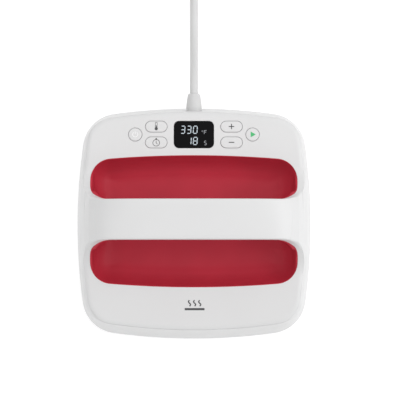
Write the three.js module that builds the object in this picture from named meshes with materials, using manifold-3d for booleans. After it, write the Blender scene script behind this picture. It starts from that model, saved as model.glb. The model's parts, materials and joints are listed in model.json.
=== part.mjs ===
// Hand-held heat press with a 9 inch heated plate, a bridge handle and a six-button control deck.
// Millimetres, +Z up. The origin is the centre of the heated plate's underside, +Y points to the
// cord side and -Y to the person who holds it.
import * as THREE from 'three';
import { mergeVertices } from 'three/addons/utils/BufferGeometryUtils.js';
import Module from 'manifold-3d';

const wasm = await Module();
wasm.setup();

// ---------------------------------------------------------------- driving dimensions
const GAP = 0.35;                 // clearance between neighbouring pieces
const WALL = 2.0;                 // moulded wall of the housing and the recess liner
const DECK_WALL = 2.2;

// Outlines are rectangles with gently bowed sides and round corners.
const FOOT = { a: 126.8, b: 125.3, sideBow: 630, endBow: 640, corner: 39 };
const RIM = { a: 110.5, b: 69.9, sideBow: 1140, endBow: 1090, corner: 22.6 };
const PLATE = { a: 114.3, b: 114.3, sideBow: 9000, endBow: 9000, corner: 30 };

const FOOT_Z = 5;                 // lower edge of the housing above the work surface
const DRAFT = { side: 0.115, front: 0.214, back: 0.18 };
const SHOULDER_WIDTH = 4.2;       // sloping band between the wall and the deck, at the sides
const SHOULDER_RISE = 13;
const SHOULDER_BACK = 0.7;        // share of the band that is left behind the handle
const SHOULDER_LEAST = 0.07;      // share of the band at the front and back edges
const LEG_LEAN = 0.17;            // inward lean at the foot of the handle's legs, outer face,
const LEG_CURVE = 0.0018;         // and how fast it grows on the way up
const LEG_LEAN_INNER = 0.02;       // the same for the legs' inner faces
const LEG_CURVE_INNER = 0.00025;

const DECK_Z = 61;                // deck height beside the handle
const DECK_FLAT = 59;             // the deck is level this far from the middle,
const DECK_EASE = 20;             // bends over this distance,
const DECK_SLOPE = 0.13;          // and then slopes down evenly
const EDGE_ROUND = 5;             // width and drop of the rounding along the deck's edge
const EDGE_DROP = 1.5;

const HANDLE_Z = 118;
const HANDLE_HALF = 21;           // half width of the handle's level stretch
const FLARE = 38;                 // each leg widens by this much on its way down
const FLARE_TOP = 118;
const FLARE_FROM = 86;             // the handle is level sided up to here, and has the legs'
const FLARE_FULL = 105;            // full flare from here outwards
const SEAM_Z = 80;                // the handle cover starts here on each leg
const CROWN = { flat: 35, half: 102.3, drop: 13.5, power: 3.6 };
const CROWN_FOOT = { x: 109.4, z: 95 };   // a sloping facet joins the leg to the crown's end
const BRIM_Z = 102;               // joint between the white cover and the coloured grip
const BRIM_HALF = 78;
const GRIP_Z = 88;                // underside of the grip
const GRIP_CORNER = { x: 88, z: 72, r: 16 };
const HANDLE_ROUND = 2;           // rounding of the cover's long edges
const GRIP_ROUND = 8;
const HANDLE_WALL = 2.6;
const TUB_Z = 37;                 // floor of the hand recess

const PLATE_TOP = 13;
const PANEL_Y = 92.2;             // middle of the control deck
const ROUND_BUTTON = { x: 62.3, r: 7.4 };
const PILL_BUTTON = { x: 40, y: 8.6, half: 11.8, r: 6.25 };
const WINDOW = { w: 42, h: 29, r: 5.3, t: 1.6 };

const CORD_D = 8.7;
const CORD_Z = 33;                // height of the cord's exit
const RELIEF_END = 138.4;
const COIL = { x: -61.5, y: 318, rIn: 38.4, rOut: 61.5, lift: 1.3 };
const TIE = { width: 12, t: 1, beside: 0.9, above: 0.3 };

// ---------------------------------------------------------------- materials
const look = (color, roughness, metalness = 0) =>
  new THREE.MeshStandardMaterial({ color, roughness, metalness });
const WHITE = look(0xe9eaec, 0.35);
const RASPBERRY = look(0xa8243c, 0.45);
const PALE_GREY = look(0xc9cbce, 0.5);
const CERAMIC = look(0x3a3b3e, 0.4, 0.3);
const STEEL = look(0xb9bcc0, 0.35, 0.9);
const BRASS = look(0xc9a75a, 0.35, 0.9);
const BOARD = look(0x1f5f3a, 0.6);
const BLACK = look(0x17181a, 0.35);
const RUBBER = look(0xc4c6c9, 0.6);
const WOOL = look(0xe6dfcf, 0.95);

// ---------------------------------------------------------------- geometry helpers
const lerp = (a, b, t) => a + (b - a) * t;
const ease = (t) => {
  const u = Math.min(1, Math.max(0, t));
  return u * u * (3 - 2 * u);
};

function indexed(geometry) {
  const bare = geometry.clone();
  bare.deleteAttribute('normal');
  bare.deleteAttribute('uv');
  return mergeVertices(bare, 1e-4);
}

function solid(geometry) {
  const bare = indexed(geometry);
  return new wasm.Manifold(new wasm.Mesh({
    numProp: 3,
    vertProperties: new Float32Array(bare.attributes.position.array),
    triVerts: new Uint32Array(bare.index.array),
  }));
}

function geometryOf(manifold) {
  const mesh = manifold.getMesh();
  const geometry = new THREE.BufferGeometry();
  geometry.setAttribute('position', new THREE.BufferAttribute(mesh.vertProperties, 3));
  geometry.setIndex(new THREE.BufferAttribute(mesh.triVerts, 1));
  geometry.computeVertexNormals();
  return geometry;
}

const cut = (body, ...tools) =>
  geometryOf(tools.reduce((left, tool) => left.subtract(solid(tool)), solid(body)));
const join = (body, ...tools) =>
  geometryOf(tools.reduce((left, tool) => left.add(solid(tool)), solid(body)));

// Skin of quads over rings of equal length. wrap closes the last ring onto the first, and
// otherwise both ends are capped with a flat fan round the ring's middle.
function skin(rings, wrap) {
  const count = rings[0].length;
  const positions = rings.flat().flatMap((p) => [p.x, p.y, p.z]);
  const index = [];
  const bands = wrap ? rings.length : rings.length - 1;
  for (let i = 0; i < bands; i += 1) {
    const here = i * count;
    const next = ((i + 1) % rings.length) * count;
    for (let j = 0; j < count; j += 1) {
      const k = (j + 1) % count;
      index.push(here + j, here + k, next + k, here + j, next + k, next + j);
    }
  }
  if (!wrap) {
    [0, rings.length - 1].forEach((i) => {
      const middle = rings[i].reduce((sum, p) => sum.add(p), new THREE.Vector3());
      middle.divideScalar(count);
      positions.push(middle.x, middle.y, middle.z);
      const centre = positions.length / 3 - 1;
      for (let j = 0; j < count; j += 1) {
        const k = (j + 1) % count;
        const edge = [i * count + j, i * count + k];
        index.push(centre, ...(i === 0 ? edge.reverse() : edge));
      }
    });
  }
  const geometry = new THREE.BufferGeometry();
  geometry.setAttribute('position', new THREE.Float32BufferAttribute(positions, 3));
  geometry.setIndex(index);
  geometry.computeVertexNormals();
  return geometry;
}

function lathe(profile, segments = 16) {
  return new THREE.LatheGeometry(profile.map(([r, z]) => new THREE.Vector2(r, z)), segments)
    .rotateX(Math.PI / 2);
}

function roundedSlab(w, h, r, thickness, curveSegments = 5) {
  const shape = new THREE.Shape();
  const x = w / 2 - r;
  const y = h / 2 - r;
  shape.absarc(x, y, r, 0, Math.PI / 2);
  shape.absarc(-x, y, r, Math.PI / 2, Math.PI);
  shape.absarc(-x, -y, r, Math.PI, Math.PI * 1.5);
  shape.absarc(x, -y, r, Math.PI * 1.5, Math.PI * 2);
  return new THREE.ExtrudeGeometry(shape, { depth: thickness, bevelEnabled: false, curveSegments });
}

function turnedOut(geometry) {
  const index = Array.from(geometry.index.array);
  for (let i = 0; i < index.length; i += 3) {
    [index[i], index[i + 1]] = [index[i + 1], index[i]];
  }
  geometry.setIndex(index);
  geometry.computeVertexNormals();
  return geometry;
}

const block = (w, d, h) => new THREE.BoxGeometry(w, d, h).translate(0, 0, h / 2);
const pin = (r, from, to, segments = 12) => lathe([[0, from], [r, from], [r, to], [0, to]], segments);

function tube(points, radius, steps, sides) {
  const circle = new THREE.Shape();
  circle.absarc(0, 0, radius, 0, Math.PI * 2);
  const path = new THREE.CatmullRomCurve3(points, false, 'centripetal');
  return new THREE.ExtrudeGeometry(circle, {
    steps, extrudePath: path, bevelEnabled: false, curveSegments: sides / 2,
  });
}

const root = new THREE.Group();

function add(name, geometry, material, place = [0, 0, 0], parent = root) {
  const mesh = new THREE.Mesh(geometry, material);
  mesh.name = name;
  mesh.position.set(...place);
  parent.add(mesh);
  return mesh;
}

// ---------------------------------------------------------------- bowed outlines
// The corner arc's centre is where the two bow arcs, shrunk by the corner radius, cross.
function cornerCentre({ a, b, sideBow, endBow, corner }) {
  const side = new THREE.Vector2(a - sideBow, 0);
  const end = new THREE.Vector2(0, b - endBow);
  const sideR = sideBow - corner;
  const endR = endBow - corner;
  const span = end.clone().sub(side);
  const gap = span.length();
  const along = (gap * gap + sideR * sideR - endR * endR) / (2 * gap);
  const across = Math.sqrt(sideR * sideR - along * along);
  const unit = span.divideScalar(gap);
  return new THREE.Vector2(
    side.x + unit.x * along - unit.y * across,
    side.y + unit.y * along + unit.x * across,
  );
}

// The three arcs of the first quadrant, from the side's middle to the end's middle.
function arcsOf(outline) {
  const centre = cornerCentre(outline);
  const toSide = Math.atan2(centre.y, centre.x - (outline.a - outline.sideBow));
  const toEnd = Math.atan2(centre.y - (outline.b - outline.endBow), centre.x);
  return [
    { x: outline.a - outline.sideBow, y: 0, r: outline.sideBow, from: 0, to: toSide },
    { x: centre.x, y: centre.y, r: outline.corner, from: toSide, to: toEnd },
    { x: 0, y: outline.b - outline.endBow, r: outline.endBow, from: toEnd, to: Math.PI / 2 },
  ];
}

const onArc = (arc, angle) => ({
  x: arc.x + arc.r * Math.cos(angle),
  y: arc.y + arc.r * Math.sin(angle),
  nx: Math.cos(angle),
  ny: Math.sin(angle),
});

// The point at a given depth y, on the side arc or the corner arc.
function atDepth(outline, y) {
  const [side, corner] = arcsOf(outline);
  const arc = y <= side.r * Math.sin(side.to) ? side : corner;
  return onArc(arc, Math.asin((y - arc.y) / arc.r));
}

// The point a share of the way along the outline from depth y to the end's middle.
function alongFrom(outline, y, share) {
  const arcs = arcsOf(outline);
  const start = atDepth(outline, y);
  const first = Math.atan2(start.ny, start.nx);
  const stretches = arcs.map((arc) => {
    const from = Math.max(arc.from, first);
    return { arc, from, length: Math.max(0, arc.to - from) * arc.r };
  });
  let left = share * stretches.reduce((sum, s) => sum + s.length, 0);
  for (const { arc, from, length } of stretches) {
    if (left <= length + 1e-9) {
      return onArc(arc, from + left / arc.r);
    }
    left -= length;
  }
  return onArc(arcs[2], Math.PI / 2);
}

// Stations of one quadrant: across the handle's leg by depth, then round the corner by share.
const LEG_HALF = flareHalf(SEAM_Z);
const LEG_FOOT = HANDLE_HALF + FLARE;
const LEG_STATIONS = [0, 0.6, 1].map((s) => s * LEG_HALF)
  .concat([0.05, 0.14, 0.28, 0.48, 0.72, 1].map((s) => lerp(LEG_HALF, LEG_FOOT, s)));
const WALK_STATIONS = [0.1, 0.17, 0.23, 0.29, 0.35, 0.41, 0.48, 0.64, 0.82, 1];

function quadrant(outline) {
  return LEG_STATIONS.map((y) => atDepth(outline, y))
    .concat(WALK_STATIONS.map((share) => alongFrom(outline, LEG_FOOT, share)));
}

// All the way round. Each point carries its outward normal and its number in the quadrant.
function around(outline) {
  const corner = quadrant(outline).map((p, station) => ({ ...p, station }));
  const last = corner.length - 1;
  const flip = (p, sx, sy) => ({ ...p, x: p.x * sx, y: p.y * sy, nx: p.nx * sx, ny: p.ny * sy });
  return [
    ...corner,
    ...corner.slice(0, last).reverse().map((p) => flip(p, -1, 1)),
    ...corner.slice(1).map((p) => flip(p, -1, -1)),
    ...corner.slice(1, last).reverse().map((p) => flip(p, 1, -1)),
  ];
}

// ---------------------------------------------------------------- body surfaces
// Half width of a handle leg at height z: a concave quarter ellipse that runs out on the deck.
function flareHalf(z) {
  const u = Math.min(1, Math.max(0, (FLARE_TOP - z) / (FLARE_TOP - DECK_Z)));
  return HANDLE_HALF + FLARE * (1 - Math.sqrt(1 - u * u));
}

function flareHeight(y) {
  const q = 1 - Math.min(1, Math.max(0, (Math.abs(y) - HANDLE_HALF) / FLARE));
  return FLARE_TOP - (FLARE_TOP - DECK_Z) * Math.sqrt(1 - q * q);
}

function deckHeight(y) {
  const out = Math.max(0, Math.abs(y) - DECK_FLAT);
  const bend = Math.min(out, DECK_EASE);
  return DECK_Z - (DECK_SLOPE * bend * bend) / (2 * DECK_EASE)
    - DECK_SLOPE * Math.max(0, out - DECK_EASE);
}

// Height of the cover's upper edge: the deck, or the leg's flare where that stands higher.
function edgeHeight(y, drop) {
  const deck = deckHeight(y) - drop;
  return Math.abs(y) >= LEG_FOOT ? deck : Math.max(deck, Math.min(SEAM_Z, flareHeight(y) - drop
    * ease((Math.abs(y) - LEG_HALF) / (LEG_FOOT - LEG_HALF))));
}

// How far a leg's inner face stands inside the recess rim, lift above the deck's edge.
function innerLean(lift) {
  return LEG_LEAN_INNER * lift + LEG_CURVE_INNER * lift ** 3;
}

// Share of the full shoulder band at a point of the foot outline. It fades round each corner.
function shoulder(p) {
  const turn = Math.atan2(Math.abs(p.ny), Math.abs(p.nx)) * THREE.MathUtils.RAD2DEG;
  const front = 1 - ease((turn - 25) / 42);
  const back = SHOULDER_BACK * (1 - ease((turn - 10) / 32));
  return Math.max(SHOULDER_LEAST, lerp(front, back, ease(0.5 + p.y / (2 * LEG_HALF))));
}

const draftAt = (p) => lerp(DRAFT.side, p.ny < 0 ? DRAFT.front : DRAFT.back, p.ny * p.ny);

// Heights of the wall's upper edge, the shoulder's upper edge and the housing's top, and how far
// the outer surface stands inside the foot outline at height z. A leg leans in as a curve of its
// own, which takes over from the shoulder where the flare begins.
function columnOf(p) {
  const band = shoulder(p);
  const deckEdge = deckHeight(p.y) - EDGE_DROP;
  const top = Math.abs(p.y) < LEG_FOOT ? edgeHeight(p.y, EDGE_DROP) : deckEdge;
  const rise = SHOULDER_RISE * band;
  const wallTop = deckEdge - rise;
  const wallInset = (wallTop - FOOT_Z) * draftAt(p);
  const onLeg = ease((LEG_FOOT - Math.abs(p.y)) / (FLARE / 2));
  const inset = (z) => {
    if (z <= wallTop) {
      return (z - FOOT_Z) * draftAt(p);
    }
    const up = z - wallTop;
    const overShoulder = (SHOULDER_WIDTH / SHOULDER_RISE) * Math.min(up, rise);
    const overLeg = LEG_LEAN * up + LEG_CURVE * up * up;
    return wallInset + lerp(overShoulder, overLeg, onLeg);
  };
  return { top, wallTop, deckEdge, inset };
}

const inward = (p, inset, z) => new THREE.Vector3(p.x - p.nx * inset, p.y - p.ny * inset, z);

function housingShell() {
  const columns = around(FOOT).map((p) => ({ p, ...columnOf(p) }));
  const ring = (place) => columns.map(place);
  const outer = [
    ring((c) => inward(c.p, 0.8, FOOT_Z)),
    ring((c) => inward(c.p, c.inset(FOOT_Z + 1), FOOT_Z + 1)),
    ring((c) => inward(c.p, c.inset(c.wallTop), c.wallTop)),
    ring((c) => inward(c.p, c.inset(c.deckEdge) - 0.02, c.deckEdge - 0.05)),
    ring((c) => inward(c.p, c.inset(c.top), c.top)),
  ];
  const inner = [
    ring((c) => inward(c.p, c.inset(c.top) + WALL, c.top)),
    ring((c) => inward(c.p, c.inset(c.wallTop) + WALL, c.wallTop - 1)),
    ring((c) => inward(c.p, WALL + 0.3, FOOT_Z)),
  ];
  return skin([...outer, ...inner], true);
}

// The cover follows the deck and climbs both legs. Its skin is an upper sheet, from the housing's
// edge in to the rim of the hand recess, and a lower sheet one wall thickness under it.
function topCover() {
  const outer = around(FOOT);
  const rim = around(RIM);
  const seat = WALL + GAP;
  const shares = [0, 0.05, 0.12, 0.3, 0.65, 1];
  const place = (i, share, depth) => {
    const p = outer[i];
    const column = columnOf(p);
    const from = inward(p, column.inset(column.top) + seat, 0);
    const lift = Math.max(0, column.top - column.deckEdge);
    const to = inward(rim[i], innerLean(lift), 0);
    const fromEdge = seat + share * from.distanceTo(to);
    const at = from.lerp(to, share);
    const rounded = Math.max(0, 1 - fromEdge / EDGE_ROUND);
    const onLeg = ease((LEG_FOOT - Math.abs(p.y)) / (LEG_FOOT - LEG_HALF));
    const drop = EDGE_DROP * rounded ** 2 * (1 - onLeg);
    const y = Math.abs(p.y) < LEG_FOOT ? p.y : at.y;
    const z = edgeHeight(y, drop);
    return under(at, y, z, depth);
  };
  const ring = (share, depth) => outer.map((p, i) => place(i, share, depth));
  return skin([
    ...shares.map((share) => ring(share, 0)),
    ...[1, 0.12, 0].map((share) => ring(share, DECK_WALL)),
  ], true);
}

// Moves a point of the upper sheet down by depth, square to the surface over a leg.
function under(at, y, z, depth) {
  const size = Math.abs(y);
  if (depth === 0 || size >= LEG_FOOT) {
    return new THREE.Vector3(at.x, at.y, z - depth);
  }
  if (size < LEG_HALF + 0.01) {
    const side = size < LEG_HALF - 0.01 ? 0 : -depth * Math.sign(y) * 0.9;
    return new THREE.Vector3(at.x, at.y + side, z - depth);
  }
  const step = 0.2;
  const slope = (flareHeight(size + step) - flareHeight(size - step)) / (2 * step);
  const tilt = Math.atan(-slope);
  const side = -Math.sign(y) * depth * Math.sin(tilt);
  return new THREE.Vector3(at.x, at.y + side, z - depth * Math.cos(tilt));
}

// Hand recess: a tub whose rim follows the cover and whose ends climb the legs' inner faces,
// where they thicken to meet the foot of the grip.
function recessLiner() {
  const rim = around(RIM);
  const columns = around(FOOT).map((p, i) => {
    const { top, deckEdge } = columnOf(p);
    const edge = Math.abs(p.y) < LEG_FOOT ? edgeHeight(p.y, 0) : deckHeight(rim[i].y);
    const lift = Math.max(0, top - deckEdge);
    const onLeg = lift / (SEAM_Z - deckEdge);
    const underGrip = ease((LEG_HALF - Math.abs(p.y)) / 8);
    const from = innerLean(lift) + GAP;
    const inner = [
      [from, edge],
      [from + 1.4 + 3.9 * underGrip, edge - 0.5 * (1 - onLeg)],
      [from + 2.6 + 5.9 * underGrip, lerp(edge - 5, 72, onLeg)],
      [from + 5.5 + 4.2 * underGrip, 50.5],
      [from + 12.5 + 1.5 * underGrip, 42],
      [from + 19.5, 38],
    ];
    return { rim: rim[i], inner };
  });
  const ringOf = (k, out, down) => columns.map(({ rim: p, inner }) => {
    const [inset, z] = inner[k];
    return inward(p, inset - out, z - down);
  });
  const floorRing = (z) => rim.map((p) => inward(p, 18, z).multiply(new THREE.Vector3(0.6, 0.6, 1)));
  return skin([
    floorRing(TUB_Z - WALL),
    ringOf(5, 0.9, WALL),
    ringOf(4, 1.2, 1.6),
    ringOf(3, 1.7, 1),
    ringOf(2, WALL, 0),
    ringOf(1, 1, WALL),
    ringOf(0, 0, WALL),
    ringOf(0, 0, 0),
    ringOf(1, 0, 0),
    ringOf(2, 0, 0),
    ringOf(3, 0, 0),
    ringOf(4, 0, 0),
    ringOf(5, 0, 0),
    floorRing(TUB_Z),
  ], false);
}

// ---------------------------------------------------------------- handle
// Where the legs' outer and inner faces stand at the seam, in the middle of the leg.
const SIDE_MIDDLE = { x: FOOT.a, y: 0, nx: 1, ny: 0 };
const LEG_OUT = FOOT.a - columnOf(SIDE_MIDDLE).inset(SEAM_Z);
const LEG_IN = RIM.a - innerLean(SEAM_Z - (DECK_Z - EDGE_DROP));

function crownHeight(x) {
  const out = Math.max(0, (x - CROWN.flat) / (CROWN.half - CROWN.flat));
  return HANDLE_Z - CROWN.drop * out ** CROWN.power;
}

// Half of the handle's three lines in x and z, from the right leg's seam to the middle: the
// outer crown, the brim where cover and grip meet, and the grip's underside.
function handleLines() {
  const base = SEAM_Z + GAP;
  const crown = [[LEG_OUT, base], [lerp(LEG_OUT, CROWN_FOOT.x, 0.5) + 0.2, 87.5],
    [CROWN_FOOT.x, CROWN_FOOT.z]];
  const brim = [[LEG_IN, base], [106.6, 84], [103.9, 88], [100, 92], [94.9, 96], [88.4, 99.3]];
  const { x, z, r } = GRIP_CORNER;
  const start = Math.asin((base - z) / r);
  const underside = [0, 0.2, 0.4, 0.6, 0.8, 1].map((s) => {
    const angle = lerp(start, Math.PI / 2, s);
    return [x + r * Math.cos(angle), z + r * Math.sin(angle)];
  });
  [CROWN.half, 98, 92].forEach((at) => crown.push([at, crownHeight(at)]));
  [1, 0.87, 0.68, 0.45, 0.2, 0].forEach((s) => {
    crown.push([x * s, crownHeight(x * s)]);
    brim.push([Math.min(x * s, BRIM_HALF), s < 1 ? BRIM_Z : 101.4]);
    underside.push([x * s * 0.98, GRIP_Z]);
  });
  return { crown, brim, underside };
}

function handleHalf(x, z) {
  const onLeg = ease((Math.abs(x) - FLARE_FROM) / (FLARE_FULL - FLARE_FROM));
  return lerp(HANDLE_HALF, flareHalf(z), onLeg);
}

// A channel swept from leg to leg. Each section stands on its open side at foot and is closed at
// head, both [x, z], and its walls are half the handle's width out from the middle.
function channel(feet, heads, wall, round, slack) {
  const mirrored = (line) => [...line, ...line.slice(0, -1).reverse().map(([x, z]) => [-x, z])];
  const foot = mirrored(feet);
  const head = mirrored(heads);
  const sections = foot.map(([fx, fz], i) => {
    const [hx, hz] = head[i];
    const length = Math.hypot(hx - fx, hz - fz);
    const point = (up, half, inwards) => {
      const t = up / length;
      const x = lerp(fx, hx, t);
      const z = lerp(fz, hz, t);
      const bow = half * half / (2 * FOOT.sideBow) * Math.sign(x) * ease(Math.abs(x) / 95 - 0.1);
      return new THREE.Vector3(x - bow, inwards, z);
    };
    const widthAt = (up) => handleHalf(lerp(fx, hx, up / length), lerp(fz, hz, up / length)) - slack;
    const side = (sign) => {
      const r = Math.min(round, length * 0.4);
      return [
        [0, widthAt(0)],
        [(length - r) / 2, widthAt((length - r) / 2)],
        [length - r, widthAt(length - r)],
        [length - r * 0.3, widthAt(length) - r * 0.3],
        [length, widthAt(length) - r],
      ].map(([up, half]) => point(up, half, half * sign));
    };
    const hollow = (sign) => {
      const top = length - wall;
      const half = widthAt(top) - wall;
      return [[0, widthAt(0) - wall], [top, half - Math.min(round, wall)]]
        .map(([up, h]) => point(up, h, h * sign));
    };
    return [...side(1), ...side(-1).reverse(), ...hollow(-1), ...hollow(1).reverse()];
  });
  return cappedSweep(sections, 10);
}

// Triangles between a channel section's outer wall and its inner wall, the shorter diagonal first.
function stripCap(section, outerCount) {
  const faces = [];
  let outer = 0;
  let inner = section.length - 1;
  while (outer < outerCount - 1 || inner > outerCount) {
    const alongOuter = outer + 1 < outerCount
      ? section[outer + 1].distanceTo(section[inner]) : Infinity;
    const alongInner = inner > outerCount ? section[inner - 1].distanceTo(section[outer]) : Infinity;
    if (alongOuter <= alongInner) {
      faces.push([outer, outer + 1, inner]);
      outer += 1;
    } else {
      faces.push([outer, inner - 1, inner]);
      inner -= 1;
    }
  }
  return faces;
}

// Skin over equal channel sections, whose first outerCount points are the outer wall.
function cappedSweep(sections, outerCount) {
  const count = sections[0].length;
  const positions = sections.flat().flatMap((p) => [p.x, p.y, p.z]);
  const index = [];
  for (let i = 0; i + 1 < sections.length; i += 1) {
    for (let j = 0; j < count; j += 1) {
      const k = (j + 1) % count;
      const a = i * count;
      const b = a + count;
      index.push(a + j, b + k, a + k, a + j, b + j, b + k);
    }
  }
  [0, sections.length - 1].forEach((i) => {
    stripCap(sections[i], outerCount).forEach((face) => {
      const corners = face.map((v) => i * count + v);
      index.push(...(i === 0 ? corners : corners.reverse()));
    });
  });
  const geometry = new THREE.BufferGeometry();
  geometry.setAttribute('position', new THREE.Float32BufferAttribute(positions, 3));
  geometry.setIndex(index);
  geometry.computeVertexNormals();
  return geometry;
}

// ---------------------------------------------------------------- heated base
const squareRing = (outline, inset, z) => around(outline).map((p) => inward(p, inset, z));

function baseRing(screwPlaces) {
  const outer = WALL + 0.3 + GAP;
  const slot = -1;
  const ring = skin([
    squareRing(FOOT, outer, 3.2),
    squareRing(FOOT, outer + 0.6, 7),
    squareRing(PLATE, slot, 7),
    squareRing(PLATE, slot, 3.2),
  ], true);
  const holes = screwPlaces.map(([x, y]) => pin(BASE_SCREW.r + GAP, 2, 8).translate(x, y, 0));
  return cut(ring, ...holes);
}

function heatPlate() {
  return skin([
    squareRing(PLATE, 1.2, 0),
    squareRing(PLATE, 0, 1.5),
    squareRing(PLATE, 0, PLATE_TOP),
  ], false);
}

const corners = (x, y = x) => [[x, y], [-x, y], [-x, -y], [x, -y]];
const STANDOFF = { reach: 100, r: 4, bore: 1.9, top: 24.7 };
const SHIELD = { size: 220, r: 26, z: 25, t: 0.8, hole: 2.1 };
const PAD = { size: 188, r: 12, z: 20.5, t: 3.8 };
const ELEMENT = { reach: 80, turn: 18, r: 3.2, apart: 28 };
const PLATE_SCREW = { r: 1.5, head: 3.4, headHeight: 2, tip: 16 };
const BASE_SCREW = { x: 119.2, y: 34, r: 1.25, head: 2.3, z: 1.6, tip: 20 };
const BOSS = { r: 3.3, bore: 1.7, from: 7.5, to: 26 };

// The housing with its four screw bosses and the hole for the cord's strain relief.
function drilledHousing() {
  const at = corners(BASE_SCREW.x, BASE_SCREW.y);
  const bosses = at.map(([x, y]) => pin(BOSS.r, BOSS.from, BOSS.to).translate(x, y, 0));
  const bores = at.map(([x, y]) => pin(BOSS.bore, BOSS.from - 1, BOSS.to - 2, 8).translate(x, y, 0));
  const exit = pin(RELIEF.neck + GAP, RELIEF.seat, RELIEF.seat + 20, 20)
    .rotateX(-Math.PI / 2).translate(0, 0, CORD_Z);
  return cut(join(housingShell(), ...bosses), ...bores, exit);
}

function heatingElement() {
  const { reach, turn, r, apart } = ELEMENT;
  const z = PLATE_TOP + GAP + r;
  const bend = (x, y, from) => [0, 0.5, 1].map((s) => {
    const angle = from + s * Math.PI / 2;
    return new THREE.Vector3(x + turn * Math.cos(angle), y + turn * Math.sin(angle), z);
  });
  const near = reach - turn;
  return tube([
    new THREE.Vector3(-apart / 2, reach, z),
    ...bend(-near, near, Math.PI / 2),
    ...bend(-near, -near, Math.PI),
    ...bend(near, -near, Math.PI * 1.5),
    ...bend(near, near, 0),
    new THREE.Vector3(apart / 2, reach, z),
  ], r, 28, 8);
}

function heatShield() {
  const sheet = roundedSlab(SHIELD.size, SHIELD.size, SHIELD.r, SHIELD.t).translate(0, 0, SHIELD.z);
  const hole = SHIELD.t + 2;
  const holes = corners(STANDOFF.reach).map(([x, y]) =>
    pin(SHIELD.hole, SHIELD.z - 1, SHIELD.z - 1 + hole).translate(x, y, 0));
  return cut(sheet, ...holes);
}

function screw({ r, head, headHeight, tip }, seat) {
  return lathe([[0, tip], [r * 0.6, tip], [r, tip + 1.5], [r, seat], [head, seat],
    [head, seat + headHeight * 0.6], [head * 0.7, seat + headHeight], [0, seat + headHeight]], 12);
}

function addHeatedBase() {
  const at = corners(BASE_SCREW.x, BASE_SCREW.y);
  add('base_ring', baseRing(at), PALE_GREY);
  add('heat_plate', heatPlate(), CERAMIC);
  add('heating_element', heatingElement(), STEEL);
  add('insulation_pad', roundedSlab(PAD.size, PAD.size, PAD.r, PAD.t), WOOL, [0, 0, PAD.z]);
  add('heat_shield', heatShield(), STEEL);
  corners(STANDOFF.reach).forEach((place, i) => {
    const post = lathe([[STANDOFF.bore, PLATE_TOP + GAP], [STANDOFF.r, PLATE_TOP + GAP],
      [STANDOFF.r, STANDOFF.top], [STANDOFF.bore, STANDOFF.top], [STANDOFF.bore, PLATE_TOP + GAP]], 12);
    add(`standoff_${i + 1}`, post, BRASS, [...place, 0]);
    add(`plate_screw_${i + 1}`, screw(PLATE_SCREW, SHIELD.z + SHIELD.t + GAP), STEEL, [...place, 0]);
  });
  at.forEach(([x, y], i) => {
    const driven = lathe([[0, BASE_SCREW.z], [BASE_SCREW.head, BASE_SCREW.z],
      [BASE_SCREW.head, 2.8], [BASE_SCREW.r, 2.8], [BASE_SCREW.r, BASE_SCREW.tip - 2],
      [0, BASE_SCREW.tip]], 12);
    add(`base_screw_${i + 1}`, driven, STEEL, [x, y, 0]);
  });
  add('thermistor', block(9, 7, 4.5), BLACK, [34, -30, PLATE_TOP + GAP]);
  const fuse = pin(2, -5.5, 5.5).rotateY(Math.PI / 2);
  add('thermal_fuse', fuse, STEEL, [-34, -30, PLATE_TOP + GAP + 2]);
}

// ---------------------------------------------------------------- electronics
function addPowerBoard() {
  const board = { y: 93, z: 29, w: 150, d: 34, t: 1.6 };
  const top = board.z + board.t + GAP;
  add('power_board', block(board.w, board.d, board.t), BOARD, [0, board.y, board.z]);
  add('relay', block(19, 15, 11), BLACK, [-48, board.y - 4, top]);
  const fins = Array.from({ length: 5 }, (_, i) => block(1.4, 24, 11).translate(-8 + 4 * i, 0, 1.5));
  add('triac_heatsink', join(block(20, 24, 2), ...fins), STEEL, [46, board.y - 3, top]);
  add('terminal_block', block(22, 9, 9), PALE_GREY, [0, board.y + 9, top]);
}

// ---------------------------------------------------------------- control deck
// Everything here lies in the sloping deck's own plane: z is measured square to the deck.
const CONTROL = { cap: 0.3, skirt: 2.5, flange: 0.8, stem: 4.6, plunger: 4.9, plungerTip: 7.6 };
const SWITCH = { top: 6.2, floor: 9.4, hole: 8.8, holeR: 1.9, plungerR: 1.6, size: 6.2 };
const CONTROL_BOARD = { z: 9.7, t: 1.6, w: 150, d: 26 };
const LCD = { z: -9.35, h: 7.3 };
const BUTTONS = [
  { name: 'power', x: -ROUND_BUTTON.x, y: 0 },
  { name: 'temperature', x: -PILL_BUTTON.x, y: PILL_BUTTON.y, pill: true },
  { name: 'timer', x: -PILL_BUTTON.x, y: -PILL_BUTTON.y, pill: true },
  { name: 'plus', x: PILL_BUTTON.x, y: PILL_BUTTON.y, pill: true },
  { name: 'minus', x: PILL_BUTTON.x, y: -PILL_BUTTON.y, pill: true },
  { name: 'go', x: ROUND_BUTTON.x, y: 0 },
];

function buttonSlab(button, grow, thickness) {
  const r = (button.pill ? PILL_BUTTON.r : ROUND_BUTTON.r) + grow;
  const half = button.pill ? PILL_BUTTON.half + grow : r + 0.001;
  return roundedSlab(half * 2, r * 2, r, thickness, 4);
}

// A cap with a rounded top edge, a flange that keeps it under the cover, and a stem.
function buttonCap(button) {
  const body = CONTROL.cap + CONTROL.skirt;
  const cap = buttonSlab(button, -GAP, body + 0.2).translate(0, 0, -CONTROL.skirt - 0.2);
  const flange = buttonSlab(button, 0.9, CONTROL.flange)
    .translate(0, 0, -CONTROL.skirt - CONTROL.flange);
  const stem = pin(2, -CONTROL.stem, -CONTROL.skirt - 0.2);
  return join(cap, flange, stem);
}

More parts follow.
